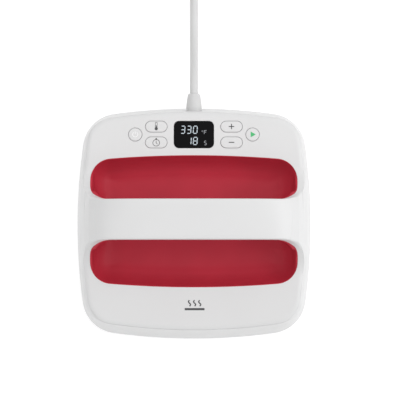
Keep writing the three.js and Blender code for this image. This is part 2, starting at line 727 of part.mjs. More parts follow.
function addControls() {
  const panel = new THREE.Group();
  panel.position.set(0, PANEL_Y, deckHeight(PANEL_Y));
  panel.rotation.x = -Math.atan(DECK_SLOPE);
  root.add(panel);
  BUTTONS.forEach((button) => {
    const { name, x, y } = button;
    const place = [x, y, 0];
    add(`button_${name}`, buttonCap(button), WHITE, place, panel);
    add(`plunger_${name}`, pin(SWITCH.plungerR, -CONTROL.plungerTip, -CONTROL.plunger), BLACK, place, panel);
    const well = pin(SWITCH.holeR, -SWITCH.hole, -SWITCH.top + 1);
    const body = block(SWITCH.size, SWITCH.size, SWITCH.floor - SWITCH.top).translate(0, 0, -SWITCH.floor);
    add(`switch_${name}`, cut(body, well), STEEL, place, panel);
  });
  const lens = roundedSlab(WINDOW.w, WINDOW.h, WINDOW.r, WINDOW.t + 0.1);
  add('display_window', lens, BLACK, [0, 0, -WINDOW.t], panel);
  add('lcd_module', block(WINDOW.w - 3, WINDOW.h - 4, LCD.h), STEEL, [0, 0, LCD.z], panel);
  add('control_board', block(CONTROL_BOARD.w, CONTROL_BOARD.d, CONTROL_BOARD.t), BOARD,
    [0, 0, -CONTROL_BOARD.z - CONTROL_BOARD.t], panel);
  const openings = BUTTONS.map((button) => buttonSlab(button, 0, 12).translate(button.x, button.y, -6));
  openings.push(roundedSlab(WINDOW.w + 2 * GAP, WINDOW.h + 2 * GAP, WINDOW.r, 12).translate(0, 0, -6));
  panel.updateMatrixWorld(true);
  const placed = openings.map((opening) => opening.applyMatrix4(panel.matrixWorld));
  add('top_cover', cut(topCover(), ...placed), WHITE);
}

// ---------------------------------------------------------------- cord
const RELIEF = { flange: 10, neck: 8.1, from: 112, seat: 115.5 };
const PLUG = { w: 26, h: 23, length: 36, nose: 20, blade: 17.5 };
const BLADE_APART = 12.7;
const BLADE_HEIGHT = 5.1;
const GROUND_DROP = 11.9;         // the ground pin lies this far below the blades

// A boot that tapers from the housing's hole to the cord, with a flange inside the wall.
function strainRelief() {
  const { flange, neck, from, seat } = RELIEF;
  return lathe([[0, from], [flange, from], [flange, seat], [neck, seat], [8.2, 122], [7.6, 128],
    [6.9, 133], [6.5, 136.8], [5.2, RELIEF_END], [0, RELIEF_END]], 16)
    .rotateX(-Math.PI / 2).translate(0, 0, CORD_Z);
}

// The lead leaves level, bends down to the table and runs straight to the coil, then a short
// tail runs from the coil's upper layer to the plug.
const FLOOR = CORD_D / 2 + 0.1;
const LEAD_ROUTE = [[138.75, 33], [147, 32.6], [156, 30.2], [166, 25], [176, 17.8], [186, 11.2],
  [196, 6.9], [206, 4.9], [216, FLOOR], [238, FLOOR], [262, FLOOR], [282.5, FLOOR]]
  .map(([y, z]) => new THREE.Vector3(0, y, z));

function coilRing() {
  const inside = COIL.rIn - CORD_D / 2;
  const outside = COIL.rOut + CORD_D / 2;
  const top = COIL.lift + 2 * CORD_D;
  return lathe([[inside, COIL.lift], [outside, COIL.lift], [outside, top], [inside, top],
    [inside, COIL.lift]], 40);
}

// A strap round the coil's bundle, as a square loop.
function coilTie() {
  const reach = (COIL.rOut - COIL.rIn) / 2 + CORD_D / 2;
  const { width, t, beside, above } = TIE;
  const height = COIL.lift + 2 * CORD_D + above + t;
  const strap = block(2 * (reach + beside + t), width, height);
  const window = block(2 * (reach + beside), width + 2, height - 2 * t).translate(0, 0, t);
  return cut(strap, window);
}

// Moulded plug, lying flat, with its blades towards -X.
function plugBody() {
  const body = roundedSlab(PLUG.h, PLUG.w, 7, PLUG.length, 4);
  const nose = lathe([[0, -PLUG.nose], [5, -PLUG.nose], [5.4, -PLUG.nose + 3], [8.5, 1], [0, 1]], 12);
  return join(body, nose).rotateY(-Math.PI / 2);
}

function addCord() {
  add('strain_relief', strainRelief(), RUBBER);
  add('power_cord', tube(LEAD_ROUTE, CORD_D / 2, 34, 8), RUBBER);
  add('cord_coil', coilRing(), RUBBER, [COIL.x, COIL.y, 0]);
  add('coil_tie', coilTie(), BLACK, [COIL.x - (COIL.rIn + COIL.rOut) / 2, COIL.y, 0]);
  const plug = new THREE.Group();
  plug.position.set(COIL.x - 38 - PLUG.nose, COIL.y + COIL.rOut, PLUG.h / 2 + 0.2);
  root.add(plug);
  add('plug_body', plugBody(), RUBBER, [0, 0, 0], plug);
  const face = -PLUG.length - GAP - PLUG.blade / 2;
  const blade = () => new THREE.BoxGeometry(PLUG.blade, 1.5, 6.3);
  add('plug_blade_left', blade(), BRASS, [face, BLADE_APART / 2, BLADE_HEIGHT], plug);
  add('plug_blade_right', blade(), BRASS, [face, -BLADE_APART / 2, BLADE_HEIGHT], plug);
  const ground = pin(2.4, 0, PLUG.blade + 3, 10).rotateY(-Math.PI / 2);
  add('plug_ground_pin', ground, BRASS, [-PLUG.length - GAP, 0, BLADE_HEIGHT - GROUND_DROP], plug);
}

// ---------------------------------------------------------------- assembly
function addHandle() {
  const { crown, brim, underside } = handleLines();
  const lowered = brim.map(([x, z], i) => (i === 0 ? [x, z] : [x - 0.25, z - 0.25]));
  add('handle_cover', channel(brim, crown, HANDLE_WALL, HANDLE_ROUND, 0), WHITE);
  add('handle_grip', turnedOut(channel(lowered, underside, HANDLE_WALL, GRIP_ROUND, 0.2)), RASPBERRY);
}

root.name = 'heat_press';
add('housing_shell', drilledHousing(), WHITE);
add('recess_liner', recessLiner(), RASPBERRY);
addHandle();
addHeatedBase();
addPowerBoard();
addControls();
addCord();
export default root;
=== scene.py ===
"""Heat press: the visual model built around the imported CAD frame.

Lengths are written in millimetres and turned into metres when a mesh is made, so they read like
the part's own driving dimensions. +Z is up, +Y points to the cord side.
"""
import json
import math

import bmesh
import bpy
import numpy as np
from mathutils import Matrix, Vector


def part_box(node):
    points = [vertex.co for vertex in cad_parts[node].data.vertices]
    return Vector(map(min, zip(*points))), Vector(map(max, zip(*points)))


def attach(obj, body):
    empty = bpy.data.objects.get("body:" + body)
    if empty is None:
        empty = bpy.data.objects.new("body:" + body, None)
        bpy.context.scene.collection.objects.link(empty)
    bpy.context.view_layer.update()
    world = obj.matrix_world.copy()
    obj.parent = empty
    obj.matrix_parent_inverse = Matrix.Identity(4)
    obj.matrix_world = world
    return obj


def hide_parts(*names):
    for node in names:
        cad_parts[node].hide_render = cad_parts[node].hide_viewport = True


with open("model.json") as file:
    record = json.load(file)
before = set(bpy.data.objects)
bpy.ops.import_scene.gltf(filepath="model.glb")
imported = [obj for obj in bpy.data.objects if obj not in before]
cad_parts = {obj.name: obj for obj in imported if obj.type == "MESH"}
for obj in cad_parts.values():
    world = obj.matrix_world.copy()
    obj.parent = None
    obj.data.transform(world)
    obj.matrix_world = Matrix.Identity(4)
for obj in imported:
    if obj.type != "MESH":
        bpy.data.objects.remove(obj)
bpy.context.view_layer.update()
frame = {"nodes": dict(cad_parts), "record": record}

NODES = frame["nodes"]
BODY = "press_body"
MM = 0.001

# ------------------------------------------------------------------ driving dimensions
# FOOT, RIM and PLATE are outlines: half width a, half depth b, the radii of their bowed sides and
# ends, and the radius of their corners.
GAP = 0.35
WALL = 2.0
DECK_WALL = 2.2
FOOT = dict(a=126.8, b=125.3, side=630.0, end=640.0, corner=39.0)
RIM = dict(a=110.5, b=69.9, side=1140.0, end=1090.0, corner=22.6)
PLATE = dict(a=114.3, b=114.3, side=9000.0, end=9000.0, corner=30.0)

# The outer wall: its draft on each side, the shoulder band above it and the lean of the handle's
# legs, as in lean * lift + curve * lift ** 2 outside and ** 3 inside.
FOOT_Z = 5.0
DRAFT_SIDE, DRAFT_FRONT, DRAFT_BACK = 0.115, 0.214, 0.18
SHOULDER_WIDTH, SHOULDER_RISE, SHOULDER_BACK, SHOULDER_LEAST = 4.2, 13.0, 0.7, 0.07
LEG_LEAN, LEG_CURVE = 0.17, 0.0018
LEG_LEAN_INNER, LEG_CURVE_INNER = 0.02, 0.00025

# The deck is level to DECK_FLAT from the middle, bends over DECK_EASE and then slopes evenly.
DECK_Z, DECK_FLAT, DECK_EASE, DECK_SLOPE = 61.0, 59.0, 20.0, 0.13
EDGE_ROUND, EDGE_DROP = 5.0, 1.5
LIP = 0.45              # the housing's visible edge beside the cover
SEAM = 0.012            # gap between the housing, the cover and the recess at their edges

# The handle is a white cover over a coloured grip, and its legs flare out towards the deck.
HANDLE_Z, HANDLE_HALF, HANDLE_ROUND = 118.0, 21.0, 1.9
FLARE, FLARE_TOP, FLARE_FROM, FLARE_FULL, SEAM_Z = 38.0, 118.0, 86.0, 105.0, 80.0
CROWN_FOOT = (109.4, 95.0)
CROWN_END = (102.3, 105.5)
CREASE_SKEW = 2.0       # the crown's end crease runs this far outwards at the back edge
BRIM_Z, GRIP_Z, HANDLE_WALL = 102.0, 88.0, 2.6
BRIM_GAP, GRIP_SLACK = 0.25, 0.15
GRIP_X, GRIP_CORNER_Z, GRIP_R = 88.0, 72.0, 16.0
TUB_Z = 37.0            # floor of the hand recess
PLATE_TOP = 13.0

PANEL_Y = 92.2          # middle of the control deck
ROUND_X, ROUND_R = 62.3, 7.4
PILL_X, PILL_Y, PILL_HALF, PILL_R = 40.0, 8.6, 11.8, 6.25
WINDOW_W, WINDOW_H, WINDOW_R = 42.0, 29.0, 5.3
FRONT_MARK_X, FRONT_MARK_Y = 0.8, -89.0

CORD_D, CORD_Z, RELIEF_END = 8.7, 33.0, 138.4
EXIT_HOLE_R = 8.45      # hole of the strain relief in the housing
COIL_X, COIL_Y, COIL_IN, COIL_OUT, COIL_LIFT = -61.5, 318.0, 38.4, 61.5, 1.3
COIL_TURNS = 5.25
FLOOR_R = CORD_D / 2 + 0.1
LEAD_ROUTE = [(138.75, 33.0), (147, 32.6), (156, 30.2), (166, 25.0), (176, 17.8), (186, 11.2),
              (196, 6.9), (206, 4.9), (216, FLOOR_R), (238, FLOOR_R), (262, FLOOR_R),
              (282.5, FLOOR_R)]


def lerp(a, b, t):
    return a + (b - a) * t


def clamp01(t):
    return min(1.0, max(0.0, t))


def ease(t):
    u = clamp01(t)
    return u * u * (3 - 2 * u)


# ------------------------------------------------------------------ camera and stage
VIEW_DISTANCE = 2000.0
VIEW_TILT = math.radians(3.0)
VIEW_CENTRE = (6.5, 25.3, 5.0)
VIEW_WIDTH = 434.6
AIM = (0.0, 0.0, 0.05)
FLOOR_HALF = 6.0


def make_camera():
    """A long lens almost straight above the press, tilted a little towards its front."""
    data = bpy.data.cameras.new("view")
    data.sensor_width = 36.0
    data.lens = 36.0 * (VIEW_DISTANCE - 5) / VIEW_WIDTH
    data.clip_end = 50.0
    camera = bpy.data.objects.new("view", data)
    x, y, z = VIEW_CENTRE
    camera.location = Vector((x, y - VIEW_DISTANCE * math.sin(VIEW_TILT),
                              z + VIEW_DISTANCE * math.cos(VIEW_TILT))) * MM
    camera.rotation_euler = (VIEW_TILT, 0.0, 0.0)
    bpy.context.scene.collection.objects.link(camera)
    bpy.context.scene.camera = camera


def area_light(name, place, size, power):
    """A round white light, in metres and watts, aimed at the middle of the press."""
    data = bpy.data.lights.new(name, "AREA")
    data.shape = "DISK"
    data.size = size
    data.energy = power
    light = bpy.data.objects.new(name, data)
    light.location = place
    light.rotation_euler = (Vector(AIM) - Vector(place)).to_track_quat("-Z", "Y").to_euler()
    bpy.context.scene.collection.objects.link(light)


def light_dome(tree, horizon, zenith):
    """An even white dome that grows brighter towards its top."""
    place = tree.nodes.new("ShaderNodeTexCoord")
    split = tree.nodes.new("ShaderNodeSeparateXYZ")
    span = tree.nodes.new("ShaderNodeMapRange")
    span.inputs["To Min"].default_value = horizon
    span.inputs["To Max"].default_value = zenith
    tree.links.new(place.outputs["Generated"], split.inputs["Vector"])
    tree.links.new(split.outputs["Z"], span.inputs["Value"])
    tree.links.new(span.outputs["Result"], tree.nodes["Background"].inputs["Strength"])
    tree.nodes["Background"].inputs["Color"].default_value = (1.0, 1.0, 1.0, 1.0)


def make_stage():
    scene = bpy.context.scene
    scene.view_settings.view_transform = "Standard"
    world = bpy.data.worlds.new("studio")
    scene.world = world
    world.use_nodes = True
    light_dome(world.node_tree, horizon=0.74, zenith=1.04)
    area_light("key", (1.9, 0.2, 1.4), size=2.0, power=18)
    area_light("top", (0.0, 1.1, 2.6), size=2.4, power=13)
    corners = [(x * FLOOR_HALF, y * FLOOR_HALF, 0) for x, y in ((-1, -1), (1, -1), (1, 1), (-1, 1))]
    floor = new_mesh("studio_floor", corners, [(0, 1, 2, 3)], scale=1.0)
    floor.data.materials.append(floor_material())


# ------------------------------------------------------------------ mesh helpers
def new_mesh(name, points, faces, scale=MM):
    mesh = bpy.data.meshes.new(name)
    mesh.from_pydata([tuple(c * scale for c in p) for p in points], [], faces)
    mesh.validate()
    mesh.update()
    obj = bpy.data.objects.new(name, mesh)
    bpy.context.scene.collection.objects.link(obj)
    return obj


def finish_mesh(obj, material, angle=32.0):
    """Faces out, smooth shading, and a sharp edge wherever the surface turns by more than angle."""
    bm = bmesh.new()
    bm.from_mesh(obj.data)
    bmesh.ops.recalc_face_normals(bm, faces=bm.faces)
    limit = math.radians(angle)
    for face in bm.faces:
        face.smooth = True
    for edge in bm.edges:
        edge.smooth = edge.is_manifold and edge.calc_face_angle(0.0) < limit
    bm.to_mesh(obj.data)
    bm.free()
    obj.data.materials.clear()
    obj.data.materials.append(material)
    return obj


def skin(name, rings, wrap):
    """A surface over rings of equal length; a wrapped one closes on itself, others are capped."""
    count = len(rings[0])
    points = [p for ring in rings for p in ring]
    faces = []
    bands = len(rings) if wrap else len(rings) - 1
    for i in range(bands):
        a = i * count
        b = ((i + 1) % len(rings)) * count
        for j in range(count):
            k = (j + 1) % count
            faces.append((a + j, a + k, b + k, b + j))
    if not wrap:
        faces.append(tuple(reversed(range(count))))
        faces.append(tuple(range((len(rings) - 1) * count, len(rings) * count)))
    return new_mesh(name, points, faces)


def lathe(name, profile, segments, axis="Z"):
    """A solid of revolution from (radius, height) points; the ends lie on the axis."""
    turn = {"Z": lambda x, y, z: (x, y, z), "Y": lambda x, y, z: (x, z, y),
            "X": lambda x, y, z: (z, x, y)}[axis]
    rings = []
    for r, h in profile:
        rings.append([turn(r * math.cos(2 * math.pi * i / segments),
                           r * math.sin(2 * math.pi * i / segments), h) for i in range(segments)])
    return skin(name, rings, False)


def smooth_line(points, steps):
    """A centripetal Catmull-Rom curve through 2-D or 3-D points, steps pieces per span."""
    pts = [np.array(p, float) for p in points]
    ends = [2 * pts[0] - pts[1]] + pts + [2 * pts[-1] - pts[-2]]
    line = []
    for i in range(1, len(ends) - 2):
        p0, p1, p2, p3 = ends[i - 1:i + 3]
        t0 = 0.0
        t1 = t0 + max(1e-6, np.linalg.norm(p1 - p0)) ** 0.5
        t2 = t1 + max(1e-6, np.linalg.norm(p2 - p1)) ** 0.5
        t3 = t2 + max(1e-6, np.linalg.norm(p3 - p2)) ** 0.5
        for s in range(steps):
            t = t1 + (t2 - t1) * s / steps
            a1 = (t1 - t) / (t1 - t0) * p0 + (t - t0) / (t1 - t0) * p1
            a2 = (t2 - t) / (t2 - t1) * p1 + (t - t1) / (t2 - t1) * p2
            a3 = (t3 - t) / (t3 - t2) * p2 + (t - t2) / (t3 - t2) * p3
            b1 = (t2 - t) / (t2 - t0) * a1 + (t - t0) / (t2 - t0) * a2
            b2 = (t3 - t) / (t3 - t1) * a2 + (t - t1) / (t3 - t1) * a3
            line.append((t2 - t) / (t2 - t1) * b1 + (t - t1) / (t2 - t1) * b2)
    line.append(pts[-1])
    return line


def cut_with(obj, cutters):
    """Cuts each cutter out of obj with an exact boolean and removes the cutters."""
    bpy.context.view_layer.update()
    for cutter in cutters:
        modifier = obj.modifiers.new("cut", "BOOLEAN")
        modifier.operation = "DIFFERENCE"
        modifier.solver = "EXACT"
        modifier.object = cutter
    graph = bpy.context.evaluated_depsgraph_get()
    done = bpy.data.meshes.new_from_object(obj.evaluated_get(graph))
    obj.modifiers.clear()
    obj.data = done
    for cutter in cutters:
        bpy.data.objects.remove(cutter)


# ------------------------------------------------------------------ bowed outlines
def corner_centre(o):
    """Centre of the corner arc that touches the outline's side arc and end arc."""
    side = np.array([o["a"] - o["side"], 0.0])
    end = np.array([0.0, o["b"] - o["end"]])
    side_r = o["side"] - o["corner"]
    end_r = o["end"] - o["corner"]
    span = end - side
    gap = np.linalg.norm(span)
    along = (gap ** 2 + side_r ** 2 - end_r ** 2) / (2 * gap)
    across = math.sqrt(side_r ** 2 - along ** 2)
    unit = span / gap
    return side + unit * along + np.array([-unit[1], unit[0]]) * across


def arcs_of(o):
    """The three arcs of the first quadrant as (x, y, radius, from, to)."""
    cx, cy = corner_centre(o)
    to_side = math.atan2(cy, cx - (o["a"] - o["side"]))
    to_end = math.atan2(cy - (o["b"] - o["end"]), cx)
    return [(o["a"] - o["side"], 0.0, o["side"], 0.0, to_side),
            (cx, cy, o["corner"], to_side, to_end),
            (0.0, o["b"] - o["end"], o["end"], to_end, math.pi / 2)]


def on_arc(arc, angle):
    x, y, r = arc[:3]
    return (x + r * math.cos(angle), y + r * math.sin(angle), math.cos(angle), math.sin(angle))


def at_depth(o, y):
    side, corner, _ = arcs_of(o)
    arc = side if y <= side[2] * math.sin(side[4]) else corner
    return on_arc(arc, math.asin((y - arc[1]) / arc[2]))


def along_from(o, y, share):
    """The point a share of the way along the outline from depth y to the end's middle."""
    arcs = arcs_of(o)
    start = at_depth(o, y)
    first = math.atan2(start[3], start[2])
    runs = [(arc, max(arc[3], first)) for arc in arcs]
    left = share * sum(max(0.0, arc[4] - begin) * arc[2] for arc, begin in runs)
    for arc, begin in runs:
        length = max(0.0, arc[4] - begin) * arc[2]
        if left <= length + 1e-9:
            return on_arc(arc, begin + left / arc[2])
        left -= length
    return on_arc(arcs[2], math.pi / 2)


def flare_half(z):
    """Half width of a handle leg at height z: a concave quarter ellipse."""
    u = clamp01((FLARE_TOP - z) / (FLARE_TOP - DECK_Z))
    return HANDLE_HALF + FLARE * (1 - math.sqrt(1 - u * u))


def flare_height(y):
    q = 1 - clamp01((abs(y) - HANDLE_HALF) / FLARE)
    return FLARE_TOP - (FLARE_TOP - DECK_Z) * math.sqrt(1 - q * q)


LEG_HALF = flare_half(SEAM_Z)
LEG_FOOT = HANDLE_HALF + FLARE
LEG_STATIONS = ([LEG_HALF * s for s in (0, 0.25, 0.5, 0.75, 0.93, 1)]
                + [lerp(LEG_HALF, LEG_FOOT, (i / 20) ** 1.5) for i in range(1, 21)])
WALK_STATIONS = [i / 40 for i in range(1, 41)]


def quadrant(o):
    return ([at_depth(o, y) for y in LEG_STATIONS]
            + [along_from(o, LEG_FOOT, share) for share in WALK_STATIONS])


def around(o):
    """The whole outline as (x, y, nx, ny), anticlockwise from the right side's middle."""
    q = quadrant(o)

    def flip(points, sx, sy):
        return [(x * sx, y * sy, nx * sx, ny * sy) for x, y, nx, ny in points]

    return (q + flip(q[:-1][::-1], -1, 1) + flip(q[1:], -1, -1) + flip(q[1:-1][::-1], 1, -1))


def inward(p, inset, z):
    return (p[0] - p[2] * inset, p[1] - p[3] * inset, z)


# ------------------------------------------------------------------ body surfaces
def deck_height(y):
    out = max(0.0, abs(y) - DECK_FLAT)
    bend = min(out, DECK_EASE)
    return DECK_Z - DECK_SLOPE * bend * bend / (2 * DECK_EASE) - DECK_SLOPE * max(0.0, out - DECK_EASE)


def edge_height(y, drop):
    """Height of the shell's upper edge: the deck's, or the leg's flare where that is higher."""
    deck = deck_height(y) - drop
    if abs(y) >= LEG_FOOT:
        return deck
    fall = drop * ease((abs(y) - LEG_HALF) / (LEG_FOOT - LEG_HALF))
    return max(deck, min(SEAM_Z, flare_height(y) - fall))


def inner_lean(lift):
    """How far a leg's inner face stands inside the recess rim, lift above the deck's edge."""
    return LEG_LEAN_INNER * lift + LEG_CURVE_INNER * lift ** 3


def shoulder(p):
    """Share of the full shoulder band at a point of the foot outline."""
    turn = math.degrees(math.atan2(abs(p[3]), abs(p[2])))
    front = 1 - ease((turn - 25) / 42)
    back = SHOULDER_BACK * (1 - ease((turn - 10) / 32))
    return max(SHOULDER_LEAST, lerp(front, back, ease(0.5 + p[1] / (2 * LEG_HALF))))


def draft_at(p):
    """Draft of the wall, blended round the corners by the outline's normal."""
    return lerp(DRAFT_SIDE, DRAFT_FRONT if p[3] < 0 else DRAFT_BACK, p[3] ** 2)


class Column:
    """The outer wall over one point of the foot outline."""

    def __init__(self, p):
        band = shoulder(p)
        self.p = p
        self.deck_edge = deck_height(p[1]) - EDGE_DROP
        self.top = edge_height(p[1], EDGE_DROP) if abs(p[1]) < LEG_FOOT else self.deck_edge
        self.rise = SHOULDER_RISE * band
        self.wall_top = self.deck_edge - self.rise
        self.wall_inset = (self.wall_top - FOOT_Z) * draft_at(p)
        self.width = SHOULDER_WIDTH * band
        self.on_leg = ease((LEG_FOOT - abs(p[1])) / (FLARE / 2))

    def inset(self, z):
        if z <= self.wall_top:
            return (z - FOOT_Z) * draft_at(self.p)
        up = z - self.wall_top
        t = min(1.0, up / self.rise)
        over_shoulder = self.width * (0.48 * t + 0.52 * t * t) + 0.15 * max(0.0, up - self.rise)
        over_leg = LEG_LEAN * up + LEG_CURVE * up * up
        return self.wall_inset + lerp(over_shoulder, over_leg, self.on_leg)


def housing_profile(c):
    """Closed profile of the wall at one column, as (inset, z) from the foot outwards and back."""
    line = [(1.1, FOOT_Z), (0.5, FOOT_Z + 0.1), (0.15, FOOT_Z + 0.45)]
    line += [(c.inset(z), z) for z in np.linspace(FOOT_Z + 1.2, c.wall_top - 0.6, 7)]
    band = [lerp(c.wall_top, c.top, s) for s in np.linspace(0.06, 1.0, 18)]
    line += [(c.inset(z), z) for z in band[:-1]]
    top_in = c.inset(c.top)
    line += [(top_in + 0.02, c.top - 0.05), (top_in + 0.07, c.top), (top_in + LIP - 0.01, c.top),
             (top_in + LIP, c.top - 0.01), (top_in + LIP, c.top - DECK_WALL - 0.3),
             (top_in + WALL, c.top - DECK_WALL - 0.4)]
    line += [(c.inset(c.wall_top) + WALL, c.wall_top - 1), (WALL + 0.3, FOOT_Z)]
    return line


def make_housing(material):
    columns = [Column(p) for p in around(FOOT)]
    profiles = [housing_profile(c) for c in columns]
    rings = []
    for k in range(len(profiles[0])):
        rings.append([inward(c.p, *profile[k]) for c, profile in zip(columns, profiles)])
    shell = skin("shell_housing", rings, True)
    hole = lathe("exit_hole", [(EXIT_HOLE_R, 100.0), (EXIT_HOLE_R, 140.0)], 48, axis="Y")
    hole.data.transform(Matrix.Translation((0, 0, CORD_Z * MM)))
    cut_with(shell, [hole])
    return dress(finish_mesh(shell, material), "housing_shell", "white_shell")


def dress(piece, node, slot, body=BODY, *more):
    """The piece stands for a CAD node, which is hidden, and rides on its body; slot is not used."""
    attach(piece, body)
    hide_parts(node, *more)
    return piece


def under(x, y, z, depth, row_y):
    """Moves a point of the cover's upper sheet down by depth, square to the surface on a leg."""
    size = abs(row_y)
    if depth == 0 or size >= LEG_FOOT:
        return (x, y, z - depth)
    if size < LEG_HALF + 0.01:
        side = 0.0 if size < LEG_HALF - 0.01 else -depth * math.copysign(0.9, row_y)
        return (x, y + side, z - depth)
    step = 0.2
    slope = (flare_height(size + step) - flare_height(size - step)) / (2 * step)
    tilt = math.atan(-slope)
    return (x, y - math.copysign(depth * math.sin(tilt), row_y), z - depth * math.cos(tilt))


def cover_point(c, rim, share, depth, tuck):
    """A share of the way from the cover's outer edge to the recess rim, depth below its surface.

    tuck lowers the point straight down and rounds off the sheet's two edges.
    """
    seat = LIP + SEAM
    start = inward(c.p, c.inset(c.top) + seat, 0.0)
    lift = max(0.0, c.top - c.deck_edge)
    end = inward(rim, inner_lean(lift), 0.0)
    span = math.dist(start[:2], end[:2])
    x = lerp(start[0], end[0], share)
    y = lerp(start[1], end[1], share)
    rounded = max(0.0, 1 - (seat + share * span) / EDGE_ROUND)
    on_leg = ease((LEG_FOOT - abs(c.p[1])) / (LEG_FOOT - LEG_HALF))
    row_y = c.p[1] if abs(c.p[1]) < LEG_FOOT else y
    z = edge_height(row_y, EDGE_DROP * rounded ** 2 * (1 - on_leg)) - tuck
    return under(x, y, z, depth, row_y)


def make_cover(material):
    """The deck sheet as closed rings: over its top from edge to rim and back along its underside."""
    columns = [Column(p) for p in around(FOOT)]
    rims = around(RIM)
    spans = [(0.0, 0.0, 0.01), (0.0003, 0.0, 0.0)]
    spans += [(s, 0.0, 0.0) for s in (0.015, 0.03, 0.05, 0.07, 0.09, 0.12, 0.16, 0.22, 0.3, 0.45, 0.6,
                                      0.75, 0.88, 0.95)]
    spans += [(0.985, 0.0, 0.0), (0.997, 0.0, 0.06), (1.0, 0.0, 0.2)]
    spans += [(s, DECK_WALL, 0.0) for s in (1.0, 0.75, 0.5, 0.3, 0.2, 0.12, 0.06, 0.0)]
    rings = [[cover_point(c, rim, *row) for c, rim in zip(columns, rims)] for row in spans]
    cover = skin("shell_cover", rings, True)
    cut_with(cover, deck_cutters())
    return dress(finish_mesh(cover, material), "top_cover", "white_shell")


def liner_profile(c, rim):
    """Visible face of the hand recess at one column, as (inset, z) from the rim to the floor."""
    on_leg = max(0.0, c.top - c.deck_edge) / (SEAM_Z - c.deck_edge)
    edge = c.top if abs(c.p[1]) < LEG_FOOT else deck_height(rim[1])
    under_grip = ease((LEG_HALF - abs(c.p[1])) / 8)
    start = inner_lean(max(0.0, c.top - c.deck_edge)) + SEAM
    lip = start + 0.9 + 4.4 * under_grip
    drop = 0.5 * (1 - on_leg)
    wall = [(lip, edge - drop),
            (start + 1.8 + 6.3 * under_grip, lerp(edge - 3, GRIP_CORNER_Z, on_leg)),
            (start + 4.0 + 5.0 * under_grip, 53), (start + 8.0 + 3.0 * under_grip, 46.5),
            (start + 13.5 + under_grip, 41), (start + 19.5, 38.2)]
    shown = smooth_line(wall, 6)
    lead = [(start, edge - 0.2), (start + 0.05, edge - 0.06), (start + 0.2, edge),
            (lerp(start, lip, 0.6), edge - drop * 0.35)]
    return lead + [tuple(p) for p in shown]


def make_liner(material):
    """The hand recess: visible rings from the rim to the floor, and hidden ones behind them."""
    rims = around(RIM)
    columns = [Column(p) for p in around(FOOT)]
    profiles = [liner_profile(c, rim) for c, rim in zip(columns, rims)]
    rings = []
    for k in range(len(profiles[0])):
        rings.append([inward(rim, *profile[k]) for rim, profile in zip(rims, profiles)])
    outer = rings[-1]
    for share, rise in ((0.96, 0.6), (0.91, 0.2), (0.85, 0.0), (0.55, 0.0), (0.15, 0.0)):
        rings.append([(x * share, y * share, TUB_Z + rise) for x, y, z in outer])
    hidden = [[(x * 0.15, y * 0.15, TUB_Z - WALL) for x, y, z in outer],
              [(x * 0.9, y * 0.9, TUB_Z - WALL) for x, y, z in outer]]
    back = [(-1, 0.8, WALL), (-7, 1.4, 1.4), (-13, 1.6, 1.2), (-19, WALL, 0.6), (4, WALL, WALL),
            (0, 0.0, WALL)]
    for k, out, down in back:
        hidden.append([inward(rim, profile[k][0] - out, profile[k][1] - down)
                       for rim, profile in zip(rims, profiles)])
    liner = skin("recess_tub", hidden + rings, False)
    return dress(finish_mesh(liner, material, 50), "recess_liner", "raspberry_shell")


# ------------------------------------------------------------------ handle
def along(line, shares):
    """Points at the given shares of a line's length."""
    pts = np.array(line, float)
    run = np.concatenate([[0.0], np.cumsum(np.linalg.norm(np.diff(pts, axis=0), axis=1))])
    at = np.array(shares) * run[-1]
    return [(float(np.interp(s, run, pts[:, 0])), float(np.interp(s, run, pts[:, 1]))) for s in at]


def share_at(line, corner):
    """Share of a line's length at the point nearest to corner."""
    pts = np.array(line, float)
    run = np.concatenate([[0.0], np.cumsum(np.linalg.norm(np.diff(pts, axis=0), axis=1))])
    return float(run[np.argmin(np.linalg.norm(pts - np.array(corner), axis=1))] / run[-1])


def handle_lines():
    """Half of the crown, brim and underside lines in (x, z), from the right leg to the middle.

    The fourth list is the sideways skew of the crown line's points, which peaks at its end crease.
    """
    base = SEAM_Z + GAP
    middle = Column((FOOT["a"], 0.0, 1.0, 0.0))
    leg_out = FOOT["a"] - middle.inset(SEAM_Z)
    leg_in = RIM["a"] - inner_lean(SEAM_Z - DECK_Z + EDGE_DROP)
    leg = smooth_line([(leg_out, base), (112.3, 87.5), CROWN_FOOT], 8)
    facet = smooth_line([CROWN_FOOT, CROWN_END], 8)
    crown = smooth_line([CROWN_END, (98, 108.4), (94, 110.6), (90, 112.1), (85.7, 113.4),
                         (77.5, 115.2), (65, 116.8), (44.7, 117.8), (0, HANDLE_Z)], 8)
    crown = [tuple(p) for p in list(leg) + list(facet)[1:] + list(crown)[1:]]
    brim = [tuple(p) for p in smooth_line([(leg_in, base), (106.6, 84), (103.7, 88.5), (99.4, 93),
                                           (94.2, 97), (87.4, 100.2), (80, 101.6), (72, BRIM_Z),
                                           (36, BRIM_Z), (0, BRIM_Z)], 8)]
    start = math.asin((base - GRIP_CORNER_Z) / GRIP_R)
    below = [(GRIP_X + GRIP_R * math.cos(a), GRIP_CORNER_Z + GRIP_R * math.sin(a))
             for a in np.linspace(start, math.pi / 2, 16)] + [(0.0, GRIP_Z)]
    first, second = share_at(crown, CROWN_FOOT), share_at(crown, CROWN_END)
    edge = 0.003
    shares = ([first * s for s in (0, 0.15, 0.3, 0.45, 0.6, 0.75, 0.88)]
              + [first - edge, first, first + edge]
              + [lerp(first, second, s) for s in (0.2, 0.4, 0.6, 0.8)]
              + [second - edge, second, second + edge]
              + [lerp(second, 1.0, s) for s in np.linspace(0, 1, 25)[1:]])
    skew = [CREASE_SKEW * (1 - abs(s - second) / (second - first if s < second else 0.25))
            for s in shares]
    lines = [along(line, shares) for line in (crown, brim, below)]
    return lines + [[max(0.0, k) for k in skew]]


def handle_half(x, z):
    """Half depth of the handle: level sided in the middle and flared on the legs."""
    on_leg = ease((abs(x) - FLARE_FROM) / (FLARE_FULL - FLARE_FROM))
    return lerp(HANDLE_HALF, flare_half(z), on_leg)


